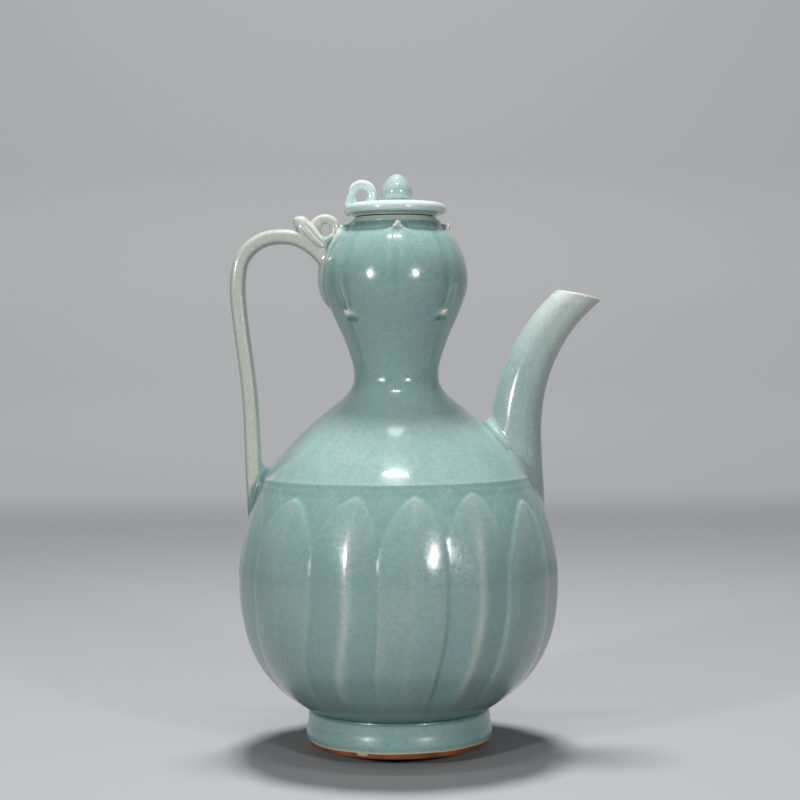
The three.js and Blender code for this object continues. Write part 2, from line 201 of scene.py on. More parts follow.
def shaded(tree, colour, shade):
    grey = add_node(tree, "CombineColor", {0: shade, 1: shade, 2: shade}).outputs[0]
    return blend_colours(tree, 1.0, colour, grey, "MULTIPLY")


# The glaze is a thick blue-green glass full of fine bubbles. It runs thin and pale over edges and
# gathers dark in hollows. Depth says where: -1 is thinnest and 1 is deepest.
glaze_group, given, made = new_group(
    "celadon_glaze",
    {"Place": "Vector", "Depth": "Float", "Unevenness": "Float"}
    | {"Thin": "Color", "Body": "Color", "Pooled": "Color"},
)
tree = glaze_group
place = given["Place"]
squash = {"Vector": place, "Scale": (1, 1, 0.16)}
runs_place = add_node(tree, "Mapping", squash).outputs["Vector"]
clouds = noise(tree, place, 30, 3)
runs = noise(tree, runs_place, 210, 2)
bubbles = noise(tree, place, 1500, 2, 0.7)
grain = noise(tree, place, 520, 2, 0.6)
uneven = sum_of(tree, sum_of(tree, -0.5, clouds), sum_of(tree, -0.5, runs), 0.7)
depth = sum_of(tree, given["Depth"], uneven, given["Unevenness"])
pooled = stretch(tree, depth, 0, 1)
thin = stretch(tree, depth, 0, -1)
colour = blend_colours(tree, pooled, given["Body"], given["Pooled"])
colour = blend_colours(tree, thin, colour, given["Thin"])
fleck = stretch(tree, sum_of(tree, bubbles, grain, 0.8), 0.65, 1.15, 0.9, 1.07)
skin_height = sum_of(tree, 0.0, clouds, 0.5 * mm)
skin_height = sum_of(tree, skin_height, runs, 0.05 * mm)
skin_height = sum_of(tree, skin_height, grain, 0.006 * mm)
tree.links.new(shaded(tree, colour, fleck), made["Colour"])
tree.links.new(stretch(tree, grain, 0.2, 0.8, 0.13, 0.24), made["Roughness"])
tree.links.new(skin_height, made["Height"])

# Bare stoneware, fired in the open flame: sandy, a little uneven in colour and quite matt.
clay_group, given, made = new_group(
    "bare_stoneware", {"Place": "Vector", "Clay": "Color", "Scorched": "Color"}
)
tree = clay_group
place = given["Place"]
patches = stretch(tree, noise(tree, place, 90, 3), 0.35, 0.68)
sand = noise(tree, place, 1300, 3, 0.7)
colour = blend_colours(tree, patches, given["Clay"], given["Scorched"])
shade = stretch(tree, sand, 0.3, 0.75, 0.72, 1.2)
tree.links.new(shaded(tree, colour, shade), made["Colour"])
tree.links.new(stretch(tree, sand, 0.3, 0.7, 0.7, 0.92), made["Roughness"])
tree.links.new(sum_of(tree, 0.0, sand, 0.12 * mm), made["Height"])

thin_glaze = (0.54, 0.6, 0.56, 1)
body_glaze = (0.233, 0.374, 0.361, 1)
pooled_glaze = (0.098, 0.205, 0.2, 1)
clay_colour = (0.42, 0.12, 0.03, 1)
scorched_clay = (0.23, 0.066, 0.02, 1)


def new_material(name):
    material = bpy.data.materials.new(name)
    material.use_nodes = True
    tree = material.node_tree
    place = add_node(tree, "TexCoord").outputs["Object"]
    return material, tree, tree.nodes["Principled BSDF"], place


def mesh_layer(tree, name):
    return add_node(tree, "Attribute", attribute_name=name).outputs["Fac"]


def glaze_on(tree, place, thinned, body=body_glaze, pool=pooled_glaze, unevenness=0.35):
    """The glaze, its depth taken from the mesh's layer."""
    depth = mesh_layer(tree, "glaze_depth")
    values = {"Place": place, "Depth": depth, "Unevenness": unevenness}
    values |= {"Thin": thinned, "Body": body, "Pooled": pool}
    return add_node(tree, "Group", values, node_tree=glaze_group).outputs


def clay_on(tree, place):
    values = {"Place": place, "Clay": clay_colour, "Scorched": scorched_clay}
    return add_node(tree, "Group", values, node_tree=clay_group).outputs


def join_surface(tree, shader, colour, roughness, height):
    bump = add_node(tree, "Bump", {"Height": height, "Distance": 1.0})
    tree.links.new(colour, shader.inputs["Base Color"])
    tree.links.new(roughness, shader.inputs["Roughness"])
    tree.links.new(bump.outputs["Normal"], shader.inputs["Normal"])


def glassy(shader):
    shader.inputs["Coat Roughness"].default_value = 0.06
    shader.inputs["IOR"].default_value = 1.5


def glazed(name, body=body_glaze, thinned=thin_glaze, pool=pooled_glaze):
    """A material that is glazed all over."""
    material, tree, shader, place = new_material(name)
    glaze = glaze_on(tree, place, thinned, body, pool, 0.3)
    join_surface(tree, shader, glaze["Colour"], glaze["Roughness"], glaze["Height"])
    shader.inputs["Coat Weight"].default_value = 0.6
    glassy(shader)
    return material


def foot_finish():
    """Glaze on the side and in the recess, bare clay where the layer says so."""
    material, tree, shader, place = new_material("foot_glaze_and_bare_clay")
    glaze = glaze_on(tree, place, (0.6, 0.56, 0.42, 1))
    clay = clay_on(tree, place)
    ragged_edge = sum_of(tree, -0.5, noise(tree, place, 260, 3))
    mask = stretch(tree, sum_of(tree, mesh_layer(tree, "bare"), ragged_edge, 0.7), 0.42, 0.58)
    chipped = sum_of(tree, mesh_layer(tree, "chipped"), noise(tree, place, 500, 3), 0.5)
    colour = blend_colours(tree, mask, glaze["Colour"], clay["Colour"])
    colour = blend_colours(tree, stretch(tree, chipped, 0.62, 0.8), colour, (0.62, 0.5, 0.34, 1))
    worn = sum_of(tree, glaze["Roughness"], 0.12)
    roughness = add_node(tree, "Mix", {0: mask, 2: worn, 3: clay["Roughness"]}).outputs[0]
    height = add_node(tree, "Mix", {0: mask, 2: glaze["Height"], 3: clay["Height"]}).outputs[0]
    join_surface(tree, shader, colour, roughness, height)
    tree.links.new(stretch(tree, mask, 0, 1, 0.25, 0), shader.inputs["Coat Weight"])
    glassy(shader)
    return material


foot_outline = [
    (43.2, foot_height - 0.6), (44.3, foot_height - 0.35), (44.75, foot_height - 1.2),
    (44.85, foot_height - 4), (45.1, 10.9), (45.65, 8.3), (46, 5.6), (45.7, 3.1), (44.9, 1.2),
    (44.1, 0.25), (43.2, 0), (41, 0), (39.7, 0.1), (38.9, 0.7), (38.6, 2), (38.5, 5), (38.4, 9.2),
]
around = all_round(480)
radius, height = curve_through(foot_outline, 120).T[:, :, None]
wobble = 0.1 * np.sin(3 * around + 0.6) + 0.06 * np.sin(7 * around)
outside = radius > 42
glaze_edge = 2.7 + 0.25 * np.sin(2 * around + 1) + 0.12 * np.sin(9 * around)
bare = 1 - ease(height, glaze_edge - 0.25, glaze_edge + 0.25)
thin_edge = ease(height, glaze_edge + 1.6, glaze_edge)
# Darker towards the top of the foot, in the crevice under the bulb: glaze gathered there, and painted
# shade of the overhanging bulb.
pooled_and_shaded_crevice = ease(height, foot_height - 3, foot_height - 0.6)
chip_azimuth = math.radians(-23)
chip = hump(around - chip_azimuth - 2 * np.pi, 0.075) * hump(height - 2.1, 0.75)
foot = clay_mesh(
    "foot",
    turned(radius + wobble * ease(height, 0, 6), np.maximum(height, 0), around),
    "joined",
    glaze_depth=np.where(outside, pooled_and_shaded_crevice * 1.1 - thin_edge * 0.9, 0.2),
    bare=bare,
    chipped=np.where(outside, chip, 0),
)
stand_for(foot, foot_finish(), "celadon_glaze", "ewer", "foot_ring")

# Lower bulb
# The large thrown bowl. Fourteen long lotus petals were cut in its leather-hard wall, by turns with
# a keel between hollow flanks and as a low pillow. The ridge at its top is marked with a cut line.
belly_radius = 79.2
belly_height = foot_height + 66
ridge_radius = 65.9
ridge_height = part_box("lower_bulb")[1].z / mm + half_gap
waist_radius = 20.9
waist_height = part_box("shoulder")[1].z / mm + half_gap
upper_radius = 35.9
upper_height = waist_height + 46.5
crown_radius = 26.8
crown_height = upper_height + 24.8
mouth_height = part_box("mouth_rim")[1].z / mm
rim_seat = mouth_height - 2.6


def swelling(widest, widest_height, edge, edge_height, fullness):
    """A bulging side as rows of radius and height, from its widest circle to its edge."""
    t = np.sin(np.linspace(0, np.pi / 2, 300))
    radius = np.sqrt(widest**2 - (widest**2 - edge**2) * t**fullness)
    return np.stack([radius, widest_height + (edge_height - widest_height) * t], axis=-1)


def sweep(start, leave, arrive, end, t=shares_of(400)[:, None]):
    """A curve between two ends with a pull at each, at shares t of the way."""
    start, leave, arrive, end = (np.asarray(point) for point in (start, leave, arrive, end))
    pulls = 3 * (1 - t) ** 2 * t * leave + 3 * (1 - t) * t**2 * arrive
    return (1 - t) ** 3 * start + pulls + t**3 * end


skin_outline = np.vstack(
    [
        swelling(belly_radius, belly_height, 44.8, foot_height, 2.6)[::-1],
        swelling(belly_radius, belly_height, ridge_radius, ridge_height, 1.6)[1:],
        sweep(
            (ridge_radius, ridge_height),
            (40.7, ridge_height + 35),
            (waist_radius, waist_height - 13.3),
            (waist_radius, waist_height),
        )[1:],
        sweep(
            (waist_radius, waist_height),
            (waist_radius, waist_height + 14.9),
            (upper_radius, upper_height - 12.1),
            (upper_radius, upper_height),
        )[1:],
        swelling(upper_radius, upper_height, crown_radius, crown_height, 2)[1:],
    ]
)


def plain_radius(height):
    return np.interp(height, skin_outline[:, 1], skin_outline[:, 0])


# The petals lie by turns over and under their neighbours. Azimuths are in degrees from the front:
# for each petal its tip, its left edge, right edge and keel at the widest part of the bulb, and the
# same three at its root. Then come its tip's height and its arch's height on each side.
petal_count = 14
tip_height = ridge_height - 5.2
petals = [
    (-43.5, (-60.5, -31.6, -46.3), (-66, -39.5, -50.5), tip_height - 1.5, (25, 27)),
    (-15.7, (-32.5, -7, -17.8), (-40, -9.5, -24.5), tip_height, (29, 25)),
    (7, (-7, 17.2, 4.5), (-10.3, 13.5, 2.5), tip_height, (31, 20)),
    (30.8, (15.5, 41.5, 30), (12, 40, 26), tip_height + 1, (34, 25)),
    (57.5, (40.8, 67, 54.7), (38.5, 70, 53), tip_height - 4.2, (42, 20)),
]
hidden_count = petal_count - len(petals)
hidden_from = petals[-1][1][1]
hidden_step = (360 + petals[0][1][0] - hidden_from) / hidden_count
for i in range(hidden_count):
    middle = hidden_from + hidden_step * (i + 0.5)
    reach = hidden_step / 2 + (1.5 if i % 2 == 0 else 0)
    edges = (middle - reach, middle + reach, middle - 1)
    petals.append((middle, edges, edges, tip_height - 0.7, (29, 26)))


def turned_from(azimuth, centre):
    """The angle from centre to azimuth in degrees, between -180 and 180."""
    return (azimuth - centre + 180) % 360 - 180


def carve_petal(azimuth, height, petal, step):
    """Where a petal stands, as a mask, and how far each point is from its keel, as a share of the
    way to its edge and in millimetres."""
    tip, widest, root, top, arches = petal
    climb = ease(height, foot_height + 8, belly_height - 6)
    left, right, keel = (low + (high - low) * climb for low, high in zip(root, widest))
    mask = 1.0
    arc = plain_radius(height) * math.radians(1)
    for edge, arch, way in ((left, arches[0], -1), (right, arches[1], 1)):
        down = np.clip((top - height) / arch, 0, 1)
        rounded = np.sin(np.pi / 2 * down) ** 0.62
        half = np.abs(edge - tip) * rounded
        slope = np.where(down < 1, np.abs(edge - tip) * arc * 1.1 * (1 - down) / arch, 0)
        inside = (half - way * turned_from(azimuth, tip)) * arc / np.sqrt(1 + slope**2)
        mask = mask * ease(np.where(height < top, inside, -5), -step / 2, step / 2)
    settle = ease(height, top, top - 26)
    line = tip + (keel - tip) * settle
    off = turned_from(azimuth, line)
    span = np.where(off > 0, np.abs(right - line), np.abs(left - line))
    blunt = 0.08
    along = np.sqrt((off / span) ** 2 + blunt**2) - blunt
    return mask, along, off * arc


# How wide the cut beside a petal is, and over what height the bowl is a little flattened.
keeled_step, pillow_step = 2, 2.8
flattened_height = 113.7


def petal_relief(azimuth, height):
    """How far the carving lies outside the plain wall, and how much thinner the glaze runs there."""
    arc = plain_radius(height) * math.radians(1)
    grown = ease(height, foot_height - 1, foot_height + 22)
    ground = -0.42 * grown * (1 - ease(height, tip_height - 28, tip_height - 2))
    relief = ground - 0.6 * (1 - ease(height, tip_height - 1, tip_height + 5))
    thinned = np.zeros(np.broadcast(azimuth, height).shape)
    # Tips of a third row of petals show between the arches of the others.
    for first, second in zip(petals, petals[1:] + petals[:1]):
        middle = first[0] + turned_from(second[0], first[0]) / 2 + 2
        behind = np.clip((tip_height + 2.5 - height) / 24, 0, 1)
        off = turned_from(azimuth, middle)
        half = 9 * np.sin(np.pi / 2 * behind) ** 0.7
        inside = np.where(height < tip_height + 2.5, (half - np.abs(off)) * arc, -5)
        ridge = 0.12 * hump(off * arc, 1.8) * ease(behind, 0, 0.3)
        relief = relief + (0.16 + ridge) * ease(inside, -1.2, 1.6)
    for petal in petals[1::2]:
        mask, along, off = carve_petal(azimuth, height, petal, keeled_step)
        depth = 1.25 + 0.5 * ease(height, belly_height + 10, belly_height - 25)
        depth = depth * (1 - 0.76 * ease(height, tip_height - 39, tip_height - 6))
        face = -depth * grown * (2 * along - along**2)
        relief = relief + (face - relief) * mask
        streak = ease(height, foot_height + 4, foot_height + 26)
        streak = streak * ease(height, tip_height, tip_height - 24)
        thinned = thinned * (1 - mask) + mask * (0.18 + 0.26 * streak * hump(off, 2.8))
    for petal in petals[0::2]:
        mask, along, off = carve_petal(azimuth, height, petal, pillow_step)
        bulge = 0.9 - 0.3 * ease(height, tip_height - 34, tip_height - 12)
        face = (0.03 - 0.1 * along - bulge * along**2) * grown
        relief = relief + (face - relief) * mask
        thinned = thinned * (1 - mask) + mask * (0.19 + 0.08 * hump(off, 2))
    cut_line = hump(height - ridge_height + 1.8, 1.3)
    up = np.clip((height - foot_height) / flattened_height, 0, 1)
    flattened = 0.6 * np.cos(np.radians(azimuth)) ** 2 * np.sin(np.pi * up)
    return relief - 0.13 * cut_line - flattened, thinned


def gathered(relief, near, far):
    """Depth of glaze from how a surface lies below its surroundings, near and far off."""
    depths = []
    for passes in (near, far):
        spread = relief
        for _ in range(passes):
            spread = (np.roll(spread, 1, 1) + np.roll(spread, -1, 1) + 2 * spread) / 4
            above = np.vstack([spread[1:], spread[-1:]])
            below = np.vstack([spread[:1], spread[:-1]])
            spread = (above + below + 2 * spread) / 4
        depths.append(spread - relief)
    return depths


def turned_profile(profile, count, azimuth):
    return turned(*curve_through(profile, count).T[:, :, None], azimuth)


def in_turn(parts, depths):
    """Rings of several parts one after another, and how deep the glaze is on them."""
    spread = [np.broadcast_to(depth, part.shape[:2]) for part, depth in zip(parts, depths)]
    return np.concatenate(parts), np.vstack(spread)


bulb_around = all_round(720)
bulb_heights = np.concatenate(
    [
        np.linspace(foot_height - 0.1, foot_height + 3, 9)[:-1],
        np.linspace(foot_height + 3, ridge_height - 4, 146)[:-1],
        np.linspace(ridge_height - 4, ridge_height, 22),
    ]
)[:, None]
relief, thinned = petal_relief(np.degrees(bulb_around), bulb_heights)
near, far = gathered(relief, 4, 60)
# Darker near the foot, in the crevice under the bulb: gathered glaze and painted shade of the bulb's
# overhang.
pooled_and_shaded_crevice = ease(bulb_heights, foot_height + 7, foot_height)
bulb_depth = np.clip(0.6 * near + 0.6 * far - 0.85 * thinned + 0.9 * pooled_and_shaded_crevice, -1, 0.9)
outer = turned(plain_radius(bulb_heights) + relief, bulb_heights, bulb_around)
wall = 5.2
inner_profile = [
    (ridge_radius - wall, ridge_height), (68.5, ridge_height - 14), (73, ridge_height - 33),
    (73.9, belly_height), (72.3, belly_height - 15), (66.5, belly_height - 33),
    (55, belly_height - 49), (43, belly_height - 59), (28, 19.5), (10, 18.1),
]
inner = turned_profile(inner_profile, 60, bulb_around)
recess = [(12, 9), (30, 9.05), (37.4, 9.2), (38.5, 10), (38.8, 16), (43.4, foot_height - 0.2)]
under_floor = turned(*np.array(recess).T[:, :, None], bulb_around)
rings, depths = in_turn([under_floor, outer, inner], [0.15, bulb_depth, 0.1])
bulb = clay_mesh("petalled_bulb", rings, "closed", glaze_depth=depths)
celadon = glazed("celadon")
stand_for(bulb, celadon, "celadon_glaze", "ewer", "lower_bulb")

# Shoulder
# A plain thrown dome that was luted on the bowl at the ridge and narrows to the waist. Under the
# spout it is pierced with a hole to pour through.
shoulder_heights = np.concatenate(
    [
        np.linspace(ridge_height, ridge_height + 3, 12)[:-1],
        np.linspace(ridge_height + 3, waist_height - 6, 44)[:-1],
        np.linspace(waist_height - 6, waist_height, 14),
    ]
)[:, None]
outer = turned(plain_radius(shoulder_heights), shoulder_heights, around)
inner_profile = [
    (waist_radius - 4.8, waist_height), (waist_radius - 4.7, waist_height - 5),
    (21.5, waist_height - 12), (36, waist_height - 24), (51, waist_height - 37),
    (ridge_radius - wall, ridge_height),
]
inner = turned_profile(inner_profile, 40, around)
edge_depth = -0.08 * hump(shoulder_heights - ridge_height - 0.4, 0.9)
waist_depth = 0.35 * ease(shoulder_heights, waist_height - 9, waist_height - 2)
# Taking 0.22 off the dome's glaze depth makes the whole dome paler: painted sheen, standing in for the
# whitish reflection of the broad lamp overhead.
rings, depths = in_turn([outer, inner], [edge_depth + waist_depth - 0.22, 0.1])
shoulder = clay_mesh("shoulder_dome", rings, "joined", glaze_depth=depths)
spout_root = np.array([59.0, 0.0, ridge_height + 8.6])
pour_hole_radius = 6.5
bpy.ops.mesh.primitive_cylinder_add(
    vertices=48,
    radius=pour_hole_radius * mm,
    depth=30 * mm,
    location=tuple(spout_root * mm + (axis_x, 0, 0)),
    rotation=(0, math.radians(54), 0),
)
drill = bpy.context.object
bore = shoulder.modifiers.new("pour_hole", "BOOLEAN")
bore.object = drill
bore.operation = "DIFFERENCE"
bore.solver = "EXACT"
graph = bpy.context.evaluated_depsgraph_get()
pierced = bpy.data.meshes.new_from_object(shoulder.evaluated_get(graph))
shoulder.modifiers.clear()
shoulder.data = pierced
bpy.data.objects.remove(drill)
pierced.materials.clear()
stand_for(shoulder, celadon, "celadon_glaze", "ewer", "shoulder")

# Upper bulb
# The small bulb is thrown with the neck and pressed into four long petals, with four short ones
# below whose tips curl out. Above the crown's edge it closes in a cone to the mouth.
crown_lean = 3
stud_azimuth = 46
stud_height = upper_height - 15.5
handle_joint = 232  # height where the handle's top end meets the bulb


def from_nearest(azimuth, first):
    """Degrees from the nearest of four like places round the bulb, the first at this azimuth."""
    return turned_from(azimuth * 4, first * 4) / 4


def from_crown_tip(azimuth):
    """Degrees to the nearest long petal's tip. The front one leans a little to the spout."""
    return np.abs(from_nearest(azimuth - crown_lean * hump(turned_from(azimuth, 0), 30), 0))


def crown_edge(azimuth):
    """Height of the crown's edge at azimuths in degrees: it lifts to a tip at each long petal."""
    off = from_crown_tip(azimuth)
    return crown_height - 1.5 + 3.5 * np.exp(-((off / 7.5) ** 1.3)) + 0.5 * hump(off, 24)


def stud_dent_and_shade(azimuth, height):
    """The small dent below each short petal's tip; the glaze darkened in it is gathered glaze and
    painted shade under the beak.
    """
    across = np.radians(from_nearest(azimuth, stud_azimuth)) * plain_radius(height)
    return hump(across, 3.2) * hump(height - stud_height + 3, 1.5)


def lobe_relief(azimuth, height):
    """How far the pressed petals of the upper bulb lie outside its plain wall."""
    arc = plain_radius(height) * math.radians(1)
    from_stud = from_nearest(azimuth, stud_azimuth) * arc
    climb = height - stud_height
    valley = hump(from_stud, 3.6) * ease(climb, -3, 8)
    groove = hump(from_nearest(azimuth, 0) * arc, 1.8) * ease(height, stud_height - 8, upper_height)
    down = np.clip((1 - climb) / 24, 0, 1)
    half = 42 * np.sin(np.pi / 2 * down) ** 0.75
    inside = np.where(climb < 1, half * arc - np.abs(from_stud), -5)
    short_petal = ease(inside, -1.8, 1.8) * ease(height, waist_height + 2, waist_height + 12)
    vein = hump(from_stud, 1.3) * ease(climb, 3, -4)
    vein = vein * ease(height, waist_height - 1, waist_height + 10)
    curl = 1.1 * hump(np.hypot(from_stud / 1.5, climb), 2.4) - 0.3 * stud_dent_and_shade(azimuth, height)
    fold_line = from_stud - np.sign(turned_from(azimuth, 0)) * 0.17 * climb
    fold = 0.4 * hump(fold_line, 1.1) * ease(climb, 0, 3) * ease(climb, 19, 9)
    carved = curl + fold + 0.2 * vein + 0.18 * short_petal - 0.55 * valley - 0.3 * groove
    # The handle's end is drawn down the bulb in a low rounded tongue.
    from_tongue = turned_from(azimuth, -90) * arc
    half_tongue = 2.2 + 3.2 * ease(climb, 0, 11)
    rise = ease(climb, 1, 8) * (2.4 + 0.6 * ease(height, handle_joint - 10, handle_joint))
    rise = rise * (1 - 0.25 * ease(height, handle_joint + 8, handle_joint + 18))
    tongue = rise * np.clip(1 - (from_tongue / (half_tongue + 1.8)) ** 2, 0, 1)
    pale = rise * ease(np.abs(from_tongue), half_tongue + 3.2, half_tongue + 0.6)
    return (carved - 0.1) * ease(height, waist_height, waist_height + 6) + tongue, pale


def skin_radius(azimuth, height):
    """Radius of the finished skin at azimuths in degrees and heights."""
    low = petal_relief(azimuth, np.minimum(height, ridge_height))[0]
    high = lobe_relief(azimuth, np.clip(height, waist_height, crown_height))[0]
    relief = np.where(height < ridge_height, low, np.where(height > waist_height, high, 0))
    return plain_radius(height) + relief


def drawn(start, pull, end, t):
    """A curve between two ends that is drawn towards a third point."""
    return (1 - t) ** 2 * start + 2 * (1 - t) * t * pull + t**2 * end


degrees_around = np.degrees(around)
edge_heights = crown_edge(degrees_around)
near_tip = hump(from_crown_tip(degrees_around), 11)
softness = 0.55 + 2.2 * (1 - near_tip)
shares = shares_of(150)[:, None]
side_heights = waist_height + (edge_heights - softness - waist_height) * shares
side_relief, pale_tongue = lobe_relief(degrees_around, side_heights)
side_radius = plain_radius(side_heights) + side_relief
near, far = gathered(side_relief, 6, 40)
side_depth = (1.8 * near + 1.5 * far) * (1 - pale_tongue / 3.1) - 0.25 * pale_tongue
# Darker in the dent under each beak: gathered glaze and painted shade under the beak.
side_depth = side_depth + 0.7 * stud_dent_and_shade(degrees_around, side_heights)
side_depth = np.clip(side_depth - 0.15 * ease(side_heights, upper_height, crown_height), -1.1, 1.1)
edge_radius = plain_radius(edge_heights) + side_relief[-1] - 0.2
cone_top = np.array([22.3, rim_seat + 0.2])
turn_shares = shares_of(12)[1:, None]
cone_start_radius = edge_radius - 0.7 - softness
cone_start_height = edge_heights + 0.35 + 0.4 * softness
round_radius = drawn(side_radius[-1], edge_radius + 0.1, cone_start_radius, turn_shares)
round_height = drawn(side_heights[-1], edge_heights + 0.3, cone_start_height, turn_shares)
cone_shares = shares_of(16)[1:, None]
sag = 0.5 * np.sin(np.pi * cone_shares)
cone_radius = cone_start_radius + (cone_top[0] - cone_start_radius) * cone_shares - sag * 0.8
cone_height = cone_start_height + (cone_top[1] - cone_start_height) * cone_shares - sag * 0.3
side = turned(side_radius, side_heights, around)
round_edge = turned(round_radius, round_height, around)
cone = turned(cone_radius, cone_height, around)
neck_profile = [
    (15.4, rim_seat), (15.5, rim_seat - 3.5), (20.5, rim_seat - 6.5), (27.5, upper_height + 15),
    (31.6, upper_height), (29.5, upper_height - 14), (22.5, upper_height - 28),
    (17.2, upper_height - 40), (waist_radius - 4.4, waist_height + 4),
    (waist_radius - 4.4, waist_height),
]
inner = turned_profile(neck_profile, 70, around)
round_depth = side_depth[-1] * (1 - turn_shares) - 0.7 * near_tip * np.sin(np.pi * turn_shares)
# The cone's glaze is made deeper and darker towards the mouth: painted shade, standing in for the lid's
# shadow on the cone.
cone_painted_shade = 0.6 * ease(cone_shares, 0, 0.6)
upper_depths = [side_depth, round_depth, cone_painted_shade, 0.1]
rings, depths = in_turn([side, round_edge, cone, inner], upper_depths)
upper_bulb = clay_mesh("lobed_bulb", rings, "joined", glaze_depth=depths)
stand_for(upper_bulb, celadon, "celadon_glaze", "ewer", "upper_bulb")

# Mouth rim
# A narrow coil that finishes the mouth and carries the lid. The glaze has drained off it, so it is
# creamy, with a soft step below.
rim_outline = [
    (15.4, 0.1), (21.6, -0.25), (22.6, 0.1), (22.1, 0.75), (21.2, 1.35), (20.5, 1.95), (19.9, 2.48),
    (19, 2.58), (16.6, 2.58), (15.7, 2.3), (15.4, 1.6), (15.4, 0.3),
]


def set_at(side, height, rows):
    """Rows of side and height, moved to a place they are counted from."""
    return [(side + first, height + second, *rest) for first, second, *rest in rows]


radius, height = curve_through(set_at(0, rim_seat, rim_outline), 60).T[:, :, None]
rim_around = all_round(360)
uneven_rim = 0.12 * np.sin(2 * rim_around + 0.8) + 0.06 * np.sin(5 * rim_around)
rim = clay_mesh(
    "mouth_coil",
    turned(radius + uneven_rim * ease(radius, 18, 20), height, rim_around),
    "joined",
    glaze_depth=0.75 * ease(height, rim_seat + 0.9, rim_seat),
)
cream_glaze = glazed(
    "cream_glaze", body=(0.5, 0.55, 0.47, 1), thinned=(0.64, 0.61, 0.52, 1), pool=body_glaze
)
stand_for(rim, cream_glaze, "thin_pale_glaze", "ewer", "mouth_rim")

# Spout
# A tapering tube of clay, rolled, bent while soft and stuck over the pouring hole. Slip smoothed
# its root into the shoulder and the bulb, and its mouth was cut slantwise and wiped round.
root_side, root_up = spout_root[0] - 0.7, spout_root[2]
spout_rows = [
    (0.4, -32, 13.5, 14.2), (0.3, -16, 13.4, 13.9), (0.1, 0, 13.1, 13.3), (0.6, 17, 12.6, 12.6),
    (3, 32.5, 12, 11.9), (7.4, 46, 11.4, 11.2), (13.8, 58.5, 10.8, 10.5), (21.6, 69.4, 10.3, 9.9),
    (30, 77.9, 9.9, 9.3), (38.5, 85.2, 9.6, 8.9),
]


def bent_rod(rows, count, columns, squareness=2):
    """Rings round a rod that bends in the plane of handle and spout. A row is side, height, half
    the width and half the thickness. Returns the rings and their middles."""
    path = curve_through(rows, count)
    along = np.gradient(path[:, :2], axis=0)
    along /= np.linalg.norm(along, axis=1)[:, None]
    angle = all_round(columns)
    across, out = (np.sign(f) * np.abs(f) ** (2 / squareness) for f in (np.cos(angle), np.sin(angle)))
    middle = np.stack([path[:, 0], 0 * path[:, 0], path[:, 1]], axis=-1)
    side = path[:, 3, None] * out
    rings = np.stack(
        [
            middle[:, 0, None] + side * along[:, 1, None],
            path[:, 2, None] * across,
            middle[:, 2, None] - side * along[:, 0, None],
        ],
        axis=-1,
    )
    return rings, middle


def off_skin(points):
    """How far points lie outside the body's skin."""
    azimuth = np.degrees(np.arctan2(points[..., 0], -points[..., 1]))
    return np.hypot(points[..., 0], points[..., 1]) - skin_radius(azimuth, points[..., 2])


def on_skin(points, sunk):
    azimuth = np.arctan2(points[..., 0], -points[..., 1])
    radius = skin_radius(np.degrees(azimuth), points[..., 2]) - sunk
    return turned(radius, points[..., 2], azimuth)


def along_columns(rings):
    steps = np.linalg.norm(np.diff(rings, axis=0), axis=2)
    return np.vstack([np.zeros(rings.shape[1]), np.cumsum(steps, axis=0)])


def points_along(rings, along, wanted):
    """Points on each column of rings at the wanted distances along it."""
    made = np.empty((len(wanted), rings.shape[1], 3))
    for j in range(rings.shape[1]):
        for k in range(3):
            made[:, j, k] = np.interp(wanted[:, j], along[:, j], rings[:, j, k])
    return made


def last_inside(outside):
    """The last row of each column that is below 0."""
    return np.array([np.flatnonzero(column < 0)[-1] for column in outside.T])


def smoothed_root(rings, middle, fillet, fullness=0.0, rows=14):
    """Rows that join a tube to the skin with a hollow curve. The tube starts inside the body.
    Fullness fills the curve's corner. Returns the rows, and how far along each column they end."""
    columns = np.arange(rings.shape[1])
    outside = off_skin(rings)
    last = last_inside(outside)
    before, after = outside[last, columns], outside[last + 1, columns]
    share = (before / (before - after))[:, None]
    meeting = rings[last, columns] * (1 - share) + rings[last + 1, columns] * share
    along = along_columns(rings)
    leave = along[last, columns] + fillet
    top = points_along(rings, along, leave[None])[0]
    tiny = 0.05
    slope = [off_skin(meeting + tiny * np.eye(3)[k]) - off_skin(meeting) for k in range(3)]
    normal = np.stack(slope, axis=-1)
    normal /= np.linalg.norm(normal, axis=1)[:, None]
    away = meeting - middle[last]
    away -= (away * normal).sum(axis=1)[:, None] * normal
    away /= np.linalg.norm(away, axis=1)[:, None]
    reach = np.broadcast_to(fillet, columns.shape)[:, None]
    foot = on_skin(meeting + away * reach, 0.03)
    buried = on_skin(meeting + away * (reach + 0.9), 0.9)
    t = shares_of(rows)[:, None, None]
    fullness = np.broadcast_to(fullness, columns.shape)[:, None]
    corner = meeting + fullness * ((foot + top) / 2 - meeting)
    return np.concatenate([buried[None], drawn(foot, corner, top, t)]), leave


spout_columns, root_part = 128, 200
spout_rows = set_at(root_side, root_up, spout_rows)
tube, tube_middle = bent_rod(spout_rows, 320, spout_columns)
spout_angle = all_round(spout_columns)
towards_body = (0.5 - 0.5 * np.sin(spout_angle)) ** 2
root, leave = smoothed_root(
    tube[:root_part], tube_middle[:root_part], 2.6 + 6.4 * towards_body, 0.25 * towards_body
)
mouth_tilt = math.radians(12.2)
mouth_middle = np.array([root_side + 33.2, 0, root_up + 80.3])
mouth_normal = np.array([math.sin(mouth_tilt), 0, math.cos(mouth_tilt)])
beyond = (tube - mouth_middle) @ mouth_normal
along = along_columns(tube)
last = last_inside(beyond)
columns = np.arange(spout_columns)
share = beyond[last, columns] / (beyond[last, columns] - beyond[last + 1, columns])
lip = along[last, columns] + share * (along[last + 1, columns] - along[last, columns])
shares = shares_of(110)[1:, None]
outward = ease(np.sin(spout_angle), 0, 1)
outer_end = lip - 1.6 - 1.2 * outward
